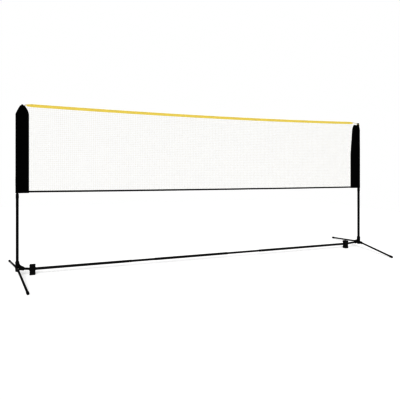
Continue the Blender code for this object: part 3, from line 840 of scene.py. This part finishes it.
def leg(end, side, row):
    """A knuckle, its tube, a ribbed rubber tip that rests on the ground, and the pivot's bolt."""
    pivot, level, reach = leg_line(side, row)
    tilt = math.atan2(PIVOT_Z - CAP_R, reach)
    for _ in range(4):  # settles on the slope at which the tip's rounding touches the ground
        tip_z = CAP_R * math.cos(tilt) - CAP_ROUNDING * math.sin(tilt)
        tilt = math.atan2(PIVOT_Z - tip_z, reach)
    line = (level * math.cos(tilt) - Vector((0, 0, math.sin(tilt)))).normalized()
    length = reach / math.cos(tilt)
    tag = f"{row}_{end}"

    ring = [(0.0195, 0.0084), (0.0203, 0.0093), (0.0250, 0.0093), (0.0258, 0.0084)]
    moulded(f"knuckle_{tag}", [lathe(pivot, line, ring)], voxel=0.0008)
    a, b = pivot + line * (0.0270 + FIT), pivot + line * (length - 0.0040)
    stand_in(f"leg_{tag}", "tube", pipe(a, b, LEG_R, LEG_BORE_R), TUBE)

    mouth = length - 0.030
    outer = [(mouth, CAP_R - 0.0012), (mouth + 0.0006, CAP_R - 0.0004), (mouth + 0.0016, CAP_R)]
    for k in range(4):
        d = mouth + 0.0050 + 0.0034 * k
        outer += [(d, CAP_R), (d + 0.0005, CAP_R - 0.0006), (d + 0.0013, CAP_R - 0.0006),
                  (d + 0.0018, CAP_R)]
    turn_in = length - CAP_ROUNDING
    outer += [(turn_in + CAP_ROUNDING * math.sin(t), CAP_R - 0.0045 * (1 - math.cos(t)))
              for t in [0.0, *quarter(8)]]
    outer += [(length, 0.0035), (length - 0.0006, 0.0028), (length - 0.0006, 0.0004)]
    bore = LEG_R + FIT
    inner = [(length - 0.0036, 0.0004), (length - 0.0036, bore), (mouth + 0.0006, bore),
             (mouth, bore + 0.0006)]
    shape = lathe(pivot, line, outer + inner, wrap=True)
    stand_in(f"leg_tip_{tag}", "rubber", shape, RUBBER, sharp=50)
    pivot_bolt(pivot, tag)


# --- soft pieces

AROUND = 112  # points round a sleeve
CLOTH_T = 0.0007
POLE_ROOM_R, LOCK_ROOM_R = 0.0116, 0.0141  # clear of the pole, and of the lock passed when lowered
MOUTH_Z, MOUTH_HEIGHT = 1.510, 0.0125  # where the sleeve starts to open round the tied tip
MOUTH_DIP, MOUTH_DIP_HEIGHT = 0.0035, 0.012
EDGE_R = 0.0017  # the fold along the inner edge
SEAM_GAPS = (0.0040, 0.0085)  # two seams by the inner edge
NOISE_SEED = pair(1.7, 8.3)


def pole_room(end, z):
    """The radius that a sleeve leaves for the pole; its mouth opens wider round the tied tip."""
    opened = ease((z - MOUTH_Z) / MOUTH_HEIGHT)
    return POLE_ROOM_R + (SLEEVE_MOUTH_R[end] - POLE_ROOM_R) * opened


def sleeve_outline(end, z):
    """The sleeve's outline at one height, evenly spaced rows of (u, y) from the outer side on.

    Cloth pulled round three rounds: the pocket's back, the pole, and the inner edge.
    """
    high = SLEEVE_Z[end][1]
    leaving = ease((z - UPPER_BEND_Z - 0.003) / 0.22)
    back_r = SLEEVE_POCKET_R - 0.0095 * leaving * (1 if end == "left" else 0.25)
    shoulder = ease((z - SHOULDER_Z - 0.008) / (high - SHOULDER_Z - 0.008)) ** 1.15
    out = -SLEEVE_POCKET_R
    out += (pole_u(end, high) - SLEEVE_LOBE[end][0] - out) * shoulder
    back_r += (0.0032 - back_r) * shoulder
    rounds = np.array([(out + back_r, back_r), (pole_u(end, z), pole_room(end, z)),
                       (sleeve_edge(end, z) - EDGE_R, EDGE_R)])
    turn = math.pi + CYCLE * (np.arange(720) + 0.5) / 720
    support = rounds[:, :1] * np.cos(turn) + rounds[:, 1:]
    pick = support.argmax(axis=0)
    u = rounds[pick, 0] + rounds[pick, 1] * np.cos(turn)
    y = rounds[pick, 1] * np.sin(turn)
    line = np.stack([np.append(u, u[0]), np.append(y, y[0])], axis=1)
    reach = travelled(line)
    at = reach[-1] * np.arange(AROUND) / AROUND
    return np.stack([np.interp(at, reach, line[:, 0]), np.interp(at, reach, line[:, 1])], axis=1)


def sleeve_section(end, z):
    """The outline with the cloth's hollows and creases, kept clear of the pole and the lock."""
    line = sleeve_outline(end, z)
    u, y = line[:, 0].copy(), line[:, 1].copy()
    edge, pole, seed = sleeve_edge(end, z), pole_u(end, z), NOISE_SEED[end]
    start = pole + 0.018
    shoulder = smooth((z - SHOULDER_Z) / (SLEEVE_Z[end][1] - SHOULDER_Z))
    low_r = LOCK_ROOM_R if z < UPPER_BEND_Z + 0.02 else 0.0
    rooms = ((pole, pole_room(end, z) - 0.0004), (0.0, low_r))
    for k in range(AROUND):
        face = 1 if y[k] > 0 else -1
        t = ease((u[k] - start) / max(edge - 0.004 - start, 0.004))
        panel = math.sin(math.pi * t) if 0 < t < 1 else 0.0
        hollow = 0.55 + 0.4 * noise.noise(Vector((u[k] * 16, face * 3.0 + seed, z * 5.0)))
        y[k] *= 1 - hollow * panel * (1 - 0.5 * shoulder)
        folds = noise.noise(Vector((u[k] * 55, face * 5.0 + seed, z * 9.0)))
        drag = noise.noise(Vector((u[k] * 34 + z * 26, face * 9.0 + seed, z * 17.0)))
        crumple = noise.noise(Vector((u[k] * 95, face * 2.0 + seed + y[k] * 60, z * 90.0)))
        pucker = math.sin(z * CYCLE / 0.0105 + 2.5 * noise.noise(Vector((seed, face, z * 40))))
        by_edge = math.exp(-((edge - u[k]) / 0.006) ** 2)
        pleats = noise.noise(Vector((u[k] * 46, face * 7.0 + seed, z * 2.4)))
        away = 0.0016 * pleats + 0.0013 * folds + 0.0009 * drag + 0.00035 * crumple
        away += 0.0003 * pucker * by_edge
        slack = 1.0 if panel > 0 else 0.35
        y[k] += face * away * slack * min(1.0, abs(y[k]) / 0.003)
        if t == 0:
            swell = max(0.0011 * folds + 0.0004 * crumple, 0.0)
            u[k] -= swell * math.exp(-((u[k] + SLEEVE_POCKET_R) / 0.006) ** 2)
        need = 0.0
        for centre, radius in rooms:
            if abs(u[k] - centre) < radius:
                need = max(need, math.sqrt(radius**2 - (u[k] - centre) ** 2))
        limit = abs(line[k, 1]) + 0.0022
        y[k] = face * min(max(abs(y[k]), need, 0.0011 if panel else 0.0), limit)
    return np.stack([u, y], axis=1)


def outward(section):
    """Unit normals of a closed outline, pointing out."""
    step = np.roll(section, -1, 0) - np.roll(section, 1, 0)
    normal = unit(np.stack([step[:, 1], -step[:, 0]], axis=1))
    return normal if np.sum(normal * (section - section.mean(axis=0))) >= 0 else -normal


def sleeve(end, side):
    """A sleeve with its own thickness, a hem at each end and two rows of stitches by its edge."""
    low, high = SLEEVE_Z[end]
    heights = np.concatenate([np.linspace(low, low + 0.016, 9),
                              np.arange(low + 0.019, high - 0.012, 0.0034),
                              np.linspace(high - 0.011, high, 8)])
    sections = [sleeve_section(end, z) for z in heights]
    outer, inner, facing = [], [], []
    for z, section in zip(heights, sections):
        normal = outward(section)
        hem = smooth((low + 0.0135 - z) / 0.0012) + smooth((z - (high - 0.0085)) / 0.0012)
        drop = 0.0
        if z > high - MOUTH_DIP_HEIGHT:  # the mouth dips a little front and back
            half = max(np.ptp(section[:, 0]) / 2, 0.01)
            off_middle = (section[:, 0] - section[:, 0].mean()) / half
            share = smooth((z - high + MOUTH_DIP_HEIGHT) / MOUTH_DIP_HEIGHT)
            drop = MOUTH_DIP * share * (1 - off_middle**2)
        level = np.full(AROUND, z) - drop
        out = section + normal * (0.00045 * hem)
        back = section - normal * CLOTH_T
        for rows, flat in ((outer, out), (inner, back)):
            rows.append(np.stack([side * (POLE_X - flat[:, 0]), flat[:, 1], level], axis=1))
        facing.append(np.stack([-side * normal[:, 0], normal[:, 1], np.zeros(AROUND)], axis=1))
    outer, inner, facing = np.array(outer), np.array(inner), np.array(facing)
    lip_low, lip_high = (outer[0] + inner[0]) / 2, (outer[-1] + inner[-1]) / 2
    lip_low[:, 2] -= 0.0003
    lip_high[:, 2] += 0.0003
    rings = np.array([*outer, lip_high, *inner[::-1], lip_low])
    if side > 0:  # mirrored, so its faces need turning outward again
        rings = rings[:, ::-1]
    cloth = piece(f"sleeve_{end}_cloth", [skin(rings, wrap=True)], CLOTH, f"sleeve_{end}", sharp=80)

    sewn = []
    for gap in SEAM_GAPS:
        for face in (-1, 1):
            line, out = [], []
            for z, section, ring, normals in zip(heights, sections, outer, facing):
                if not low + 0.004 < z < high - 0.004:
                    continue
                target = sleeve_edge(end, z) - gap
                rows = np.where(section[:, 1] * face > 0)[0]
                k = rows[np.argmin(abs(section[rows, 0] - target))]
                line.append(at_u(ring, side, target, face, k))
                out.append(normals[k])
            sewn.append(stitches(line, out))
    for hem_z in (low + 0.0110, high - 0.0070):
        k = int(np.argmin(abs(heights - hem_z)))
        sewn.append(stitches(*(np.vstack([rows[k], rows[k][:1]]) for rows in (outer, facing))))
    return cloth, piece(f"sleeve_{end}_stitching", sewn, BLACK_THREAD, body="net", sharp=60)


def at_u(ring, side, target, face, k):
    """The point of a sleeve's ring at a given u on one face, between its two nearest points."""
    u = POLE_X - side * ring[:, 0]
    point = ring[k]
    for n in (k - 1, (k + 1) % AROUND):
        if ring[n, 1] * face > 0 and (u[n] - target) * (u[k] - target) <= 0 and u[n] != u[k]:
            point = ring[k] + (ring[n] - ring[k]) * (target - u[k]) / (u[n] - u[k])
    return point


# Sections of the folded tapes, in millimetres: (height from the middle, depth to one side)
TAPE_OUT = [(-13.0, 0.75), (-12.8, 1.30), (-12.2, 1.55), (-10.4, 1.62), (-8.8, 1.58),
            (-8.2, 1.30), (-7.6, 1.20), (-4, 1.15), (0, 1.15), (4, 1.20), (6.3, 1.45),
            (7.8, 2.00), (9.0, 2.45), (10.2, 2.60), (11.3, 2.42), (12.2, 1.88), (12.8, 1.00),
            (13.0, 0.0)]
TAPE_IN = [(12.3, 0.0), (12.1, 0.72), (11.6, 1.32), (10.9, 1.72), (10.1, 1.86), (9.2, 1.72),
           (8.0, 1.30), (6.3, 0.75), (4, 0.52), (0, 0.48), (-4, 0.48), (-8.2, 0.42),
           (-12.2, 0.30), (-12.9, 0.32)]
TAPE_SEAMS, TAPE_STEPS = (-10.4, 3.6), 340
BINDING_OUT = [(6.5, 0.75), (6.35, 1.25), (5.9, 1.42), (3.5, 1.30), (0, 1.25), (-3, 1.35),
               (-4.6, 1.50), (-5.6, 1.42), (-6.2, 1.05), (-6.5, 0.5), (-6.55, 0.0)]
BINDING_IN = [(-5.8, 0.0), (-5.6, 0.45), (-5.0, 0.75), (-4.4, 0.82), (-3, 0.65), (0, 0.55),
              (3.5, 0.5), (5.9, 0.42), (6.35, 0.42)]
BINDING_SEAMS, BINDING_STEPS = (3.5,), 330


def folded(profile_out, profile_in):
    """A folded tape's closed section, as rows of (height, depth) in metres."""
    front = [(h, -d) for h, d in profile_out] + [(h, d) for h, d in reversed(profile_out) if d]
    back = [(h, d) for h, d in reversed(profile_in)] + [(h, -d) for h, d in profile_in if d]
    return np.array(front + back) * MM


def wave_at(x, pitch, row):
    """Smooth noise along the net; each row is its own."""
    return noise.noise(Vector((x * pitch, row, 0)))


def sewn_tape(name, xs, section, profile, seams, lie, look, yarn):
    """A folded tape along X; lie(x) gives its height, stretch, sway, twist and ripple there."""
    rows, lines = [], {(seam, face): ([], []) for seam in seams for face in (-1, 1)}
    for x in xs:
        height, stretch, sway, twist, ripple = lie(x)

        def bent(h, d):
            loose = np.clip((0.004 - h) / 0.017, 0, 1)  # the lower part, below the fold
            y = d + sway + twist * h + ripple * loose
            return np.stack([np.full(np.shape(h), x), y, height + h * stretch], axis=-1)

        rows.append(bent(section[:, 0], section[:, 1]))
        for (seam, face), (line, out) in lines.items():
            depth = np.interp(seam, *zip(*sorted(profile))) * MM
            line.append(bent(np.array(seam * MM), np.array(face * depth)))
            out.append((0, face, 0))
    cloth = piece(f"{name}_cloth", [skin(rows)], look, name, sharp=60)
    sewn = [stitches(line, out) for line, out in lines.values()]
    return cloth, piece(f"{name}_stitching", sewn, yarn, body="net", sharp=60)


def top_tape():
    def lie(x):
        height = tape_z(x) + 0.0004 * wave_at(x, 9.0, 6.0)
        return (height, tape_half_height(x) / 0.013, 0.0010 * wave_at(x, 2.6, 4.0),
                0.07 * wave_at(x, 4.2, 9.0), 0.0006 * wave_at(x, 31, 2.0))

    xs = np.linspace(tape_end_x("left"), tape_end_x("right"), TAPE_STEPS)
    section = folded(TAPE_OUT, TAPE_IN)[::-1]
    return sewn_tape("top_tape", xs, section, TAPE_OUT, TAPE_SEAMS, lie, TAPE, YELLOW_THREAD)


def bottom_binding():
    def lie(x):
        sag = 0.0007 * wave_at(x, 3.3, 17.0) + 0.0003 * wave_at(x, 24, 19.0)
        return (binding_z(x) + sag, BINDING_HALF / 0.0065, 0.0014 * wave_at(x, 2.1, 14.0),
                0.05 * wave_at(x, 5.0, 21.0), 0.0)

    x0 = -POLE_X + sleeve_edge("left", BINDING_Z) - 0.004
    x1 = POLE_X - sleeve_edge("right", BINDING_Z) + 0.004
    xs = np.linspace(x0, x1, BINDING_STEPS)
    section = folded(BINDING_OUT, BINDING_IN)
    return sewn_tape("bottom_binding", xs, section, BINDING_OUT, BINDING_SEAMS, lie, BINDING,
                     BLACK_THREAD)


def side_x(side, z):
    """Where the mesh meets a sleeve at a height."""
    end = "left" if side < 0 else "right"
    return side * (POLE_X - net_edge(end, z))


def netting():
    """A square mesh of twine with a knot at each crossing, sewn into the tapes and the sleeves."""
    xs = np.arange(-MESH_REACH, MESH_REACH, MESH_PITCH)
    share = np.arange(MESH_ROWS) / (MESH_ROWS - 1)
    top = np.array([tape_z(x) - TAPE_HEIGHT / 2 + 0.0035 for x in xs])[:, None]
    bottom = np.array([binding_z(x) + BINDING_HALF - 0.0040 for x in xs])[:, None]
    x = np.repeat(xs[:, None], MESH_ROWS, axis=1)
    z = bottom + share[None] * (top - bottom)
    slack = np.sin(math.pi * share)[None]  # none along the tapes, most in the middle
    wander = np.array([[noise.noise_vector(Vector((a * 3.1, 30.0, b * 4.0))) for b in z[0]]
                       for a in xs])
    x = x + slack * (0.0032 * wander[..., 0] + rng.normal(0, 0.00042, x.shape))
    z = z + slack * (0.0026 * wander[..., 2] + rng.normal(0, 0.00036, x.shape))
    y = slack * (0.0050 * wander[..., 1] + rng.normal(0, 0.00035, x.shape))
    nodes = np.stack([x, y, z], axis=-1)
    left = np.vectorize(lambda h: side_x(-1, h))(z)
    right = np.vectorize(lambda h: side_x(1, h))(z)
    inside = (x > left + 0.001) & (x < right - 0.001)

    def cut(a, b):
        """The point between an outer and an inner node that lies just inside the sleeve's seam."""
        low, high = 0.0, 1.0
        for _ in range(12):
            half = (low + high) / 2
            p = a + (b - a) * half
            edge = side_x(math.copysign(1, p[0]), p[2])
            low, high = (half, high) if abs(p[0]) > abs(edge) + 0.0012 else (low, half)
        return a + (b - a) * high

    def strands(grid, flags, lift):
        made = []
        for line, flag in zip(grid, flags):
            held = np.where(flag)[0]
            if len(held) < 2:
                continue
            first, last = held[0], held[-1]
            path = list(line[first:last + 1])
            if first > 0:
                path.insert(0, cut(line[first - 1], line[first]))
            if last < len(line) - 1:
                path.append(cut(line[last + 1], line[last]))
            path = np.array(path)
            path[:, 1] += lift
            made.append(along(path, TWINE_R, (0, 1, 0), 5))
        return made

    upright = strands(nodes, inside, -TWINE_LIFT)
    level = strands(nodes.transpose(1, 0, 2), inside.T, TWINE_LIFT)
    middles = nodes[:, 1:-1][inside[:, 1:-1]]
    count = len(middles)
    directions = unit(rng.normal(size=(count, 3)))
    square = unit(np.cross(directions, (0, 0, 1)))
    sizes = np.array(KNOT_R) * rng.uniform(0.9, 1.12, (count, 1))
    knots = copies(ball(), middles, directions, square, sizes)
    return [piece(f"netting_{part}", shape, NET, "netting", sharp=80)
            for part, shape in (("uprights", upright), ("levels", level), ("knots", [knots]))]


STRAND_R, TWIST_R, RING_R = 0.00105, 0.00112, 0.0134
RING_STEPS, RING_TWISTS, TAIL_LAY = 120, 9, 0.011
WHIPPING_AT, WHIPPING_LENGTH, WHIPPING_TURNS, WHIPPING_R = 0.0215, 0.0060, 4, 0.00085


def tie_loop(end, side):
    """A three-strand cord: a ring round the pole's neck, and a whipped tail into the tape."""
    centre = np.array(pole_point(end, side, TIE_Z))
    inward, across, up = np.array((-side, 0.0, 0.0)), np.array((0.0, 1.0, 0.0)), np.array(UP)
    parts = []
    turn = turns(RING_STEPS)
    out = np.stack([np.cos(turn), np.sin(turn), np.zeros(RING_STEPS)], axis=1)
    for strand in range(3):
        phase = CYCLE * strand / 3 + RING_TWISTS * turn
        path = centre + out * (RING_R + TWIST_R * np.cos(phase))[:, None]
        path = path + up * (TWIST_R * np.sin(phase))[:, None]
        parts.append(along(path, STRAND_R, up, 7, closed=True))

    # the tail climbs over the sleeve's mouth and ends in the hem at the tape's top edge
    end_x = tape_end_x(end)
    hem = np.array((end_x, 0.0, tape_z(end_x) + 0.0046))
    route = [centre + inward * d + up * h for d, h in TIE_ROUTE] + [hem, hem + inward * 0.010]
    for _ in range(3):  # cutting the corners rounds the route
        cut = [a + (b - a) * share for a, b in zip(route, route[1:]) for share in (0.25, 0.75)]
        route = [route[0], *cut, route[-1]]
    route = np.array(route)
    reach = travelled(route)

    def tail_at(distances):
        return np.stack([np.interp(distances, reach, route[:, axis]) for axis in range(3)], axis=1)

    at = np.linspace(0, reach[-1], 70)
    line = tail_at(at)
    over = unit(np.cross(np.gradient(line, axis=0), across))
    lay = TWIST_R * (1 - 0.5 * np.clip((at - reach[-1] + 0.014) / 0.004, 0, 1))[:, None]
    for strand in range(3):
        phase = (CYCLE * strand / 3 + CYCLE * at / TAIL_LAY)[:, None]
        path = line + lay * (across * np.cos(phase) + over * np.sin(phase))
        parts.append(along(path, STRAND_R, across, 7))

    # whipping thread round the tail
    line = tail_at(WHIPPING_AT + np.linspace(0, WHIPPING_LENGTH, 90))
    direction = line[-1] - line[0]
    over = np.cross(direction / np.linalg.norm(direction), across)
    wrap = (CYCLE * WHIPPING_TURNS * np.linspace(0, 1, 90))[:, None]
    whipping = line + 0.0027 * (across * np.cos(wrap) + over * np.sin(wrap))
    parts.append(along(whipping, WHIPPING_R, direction, 7))
    return piece(f"tie_loop_{end}_cord", parts, CORD, f"tie_loop_{end}", sharp=80)


# --- build

for end, side in ENDS.items():
    poles(end, side)
    collar(end, side)
    ground_corner(end, side)
    ground_foot(end, side)
    a, b, line = stub_axis(end, side)
    stub = pipe(a + line * 0.0190, b - line * 0.0030, STUB_R, STUB_BORE_R)
    stand_in(f"stub_{end}", "tube", stub, TUBE)
    spring_button(end)
    for row in ("front", "rear"):
        leg(end, side, row)
ground_bars()

for end, side in ENDS.items():
    cloth, sewing = sleeve(end, side)
mesh_pieces = netting()
for end, side in ENDS.items():
    tie_loop(end, side)
tape, tape_sewing = top_tape()
binding, binding_sewing = bottom_binding()

# --- stage, light and camera

FLOOR_HALF = 6  # its far edge shows below the net, which then stands against plain backdrop
floor_mesh = bpy.data.meshes.new("floor")
floor_mesh.from_pydata([(x * FLOOR_HALF, y * FLOOR_HALF, 0)
                        for x, y in ((-1, -1), (1, -1), (1, 1), (-1, 1))], [], [(0, 1, 2, 3)])
floor_mesh.materials.append(floor_look())
floor = link("floor", floor_mesh)
floor.location.z = -0.0005

world = bpy.data.worlds.new("studio")
scene.world = world
world.use_nodes = True
nodes, links = world.node_tree.nodes, world.node_tree.links
backdrop = nodes["Background"]  # what the camera sees behind the object
room = nodes.new("ShaderNodeBackground")  # the softer light that the object gets from it
for shader, strength in ((backdrop, 1.0), (room, ROOM_LIGHT)):
    shader.inputs["Color"].default_value = (1.0, 1.0, 1.0, 1.0)
    shader.inputs["Strength"].default_value = strength
either = nodes.new("ShaderNodeMixShader")
links.new(nodes.new("ShaderNodeLightPath").outputs["Is Camera Ray"], either.inputs["Fac"])
links.new(room.outputs[0], either.inputs[1])
links.new(backdrop.outputs[0], either.inputs[2])
links.new(either.outputs[0], nodes["World Output"].inputs["Surface"])

key_data = bpy.data.lights.new("key", "SUN")
key_data.energy, key_data.angle = KEY_LIGHT, math.radians(28)
key = link("key", key_data)
key.rotation_mode = "QUATERNION"
key.rotation_quaternion = Vector((-0.5, -1.0, 1.0)).to_track_quat("Z", "Y")

CAMERA_AT = (-1.6685, -3.1003, 0.9347)
CAMERA_YAW = -0.2861
FOCAL, SENSOR = 28.7595, 36  # millimetres
SHIFT = (0.129025, -0.0694)  # shares of the picture's width
cam_data = bpy.data.cameras.new("camera")
cam_data.sensor_width, cam_data.lens, cam_data.clip_end = SENSOR, FOCAL, 200
cam_data.shift_x, cam_data.shift_y = SHIFT
camera = link("camera", cam_data)
camera.location = CAMERA_AT
camera.rotation_euler = (math.pi / 2, 0, CAMERA_YAW)
scene.camera = camera
scene.view_settings.view_transform = "Standard"
scene.view_settings.gamma = 0.6  # the picture's deep blacks

bpy.context.view_layer.update()
